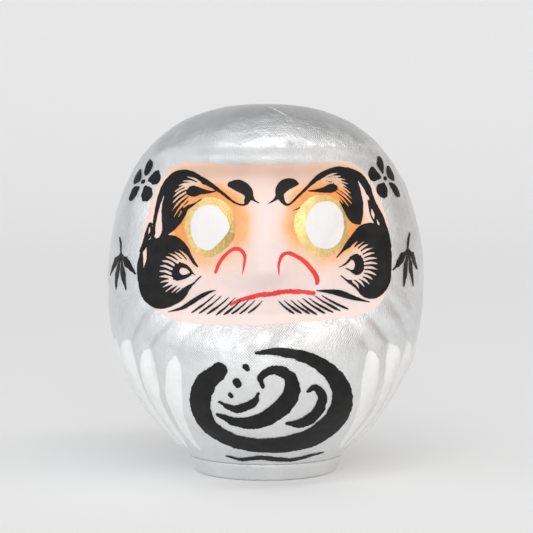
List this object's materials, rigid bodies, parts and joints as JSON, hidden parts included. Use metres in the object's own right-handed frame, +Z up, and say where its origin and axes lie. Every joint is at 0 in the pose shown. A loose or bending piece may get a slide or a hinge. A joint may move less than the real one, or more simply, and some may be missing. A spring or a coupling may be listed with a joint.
{
  "type": "daruma doll",
  "caption": "Hollow paper daruma doll, egg-shaped with a hooded, sunken face, gilt rings round the eyes and a small weighted round foot.",
  "frame": {"origin": "centre of the underside that the doll stands on", "axes": "+Z up, the face looks along -Y, +X to the right as seen from the front"},
  "size_m": [0.1462, 0.1378, 0.17],
  "materials": {
    "silver_paint": "brushed silver paint with a satin sheen on moulded pulp; face, brow, beard and belly paint are drawn in the visual model",
    "gold_leaf": "crinkled gold leaf, satin",
    "foot_paint": "silver paint on moulded card, slightly chalky",
    "clay": "dry unfired clay",
    "glue": "dried white glue gone yellowish",
    "bottom_paper": "plain handmade paper, matte"
  },
  "bodies": {
    "root": {"body_shell": "silver_paint", "gilt_ring_left": "gold_leaf", "gilt_ring_right": "gold_leaf", "base_dish": "foot_paint", "clay_weight": "clay", "glue_ring": "glue", "bottom_paper": "bottom_paper"}
  },
  "joints": []
}
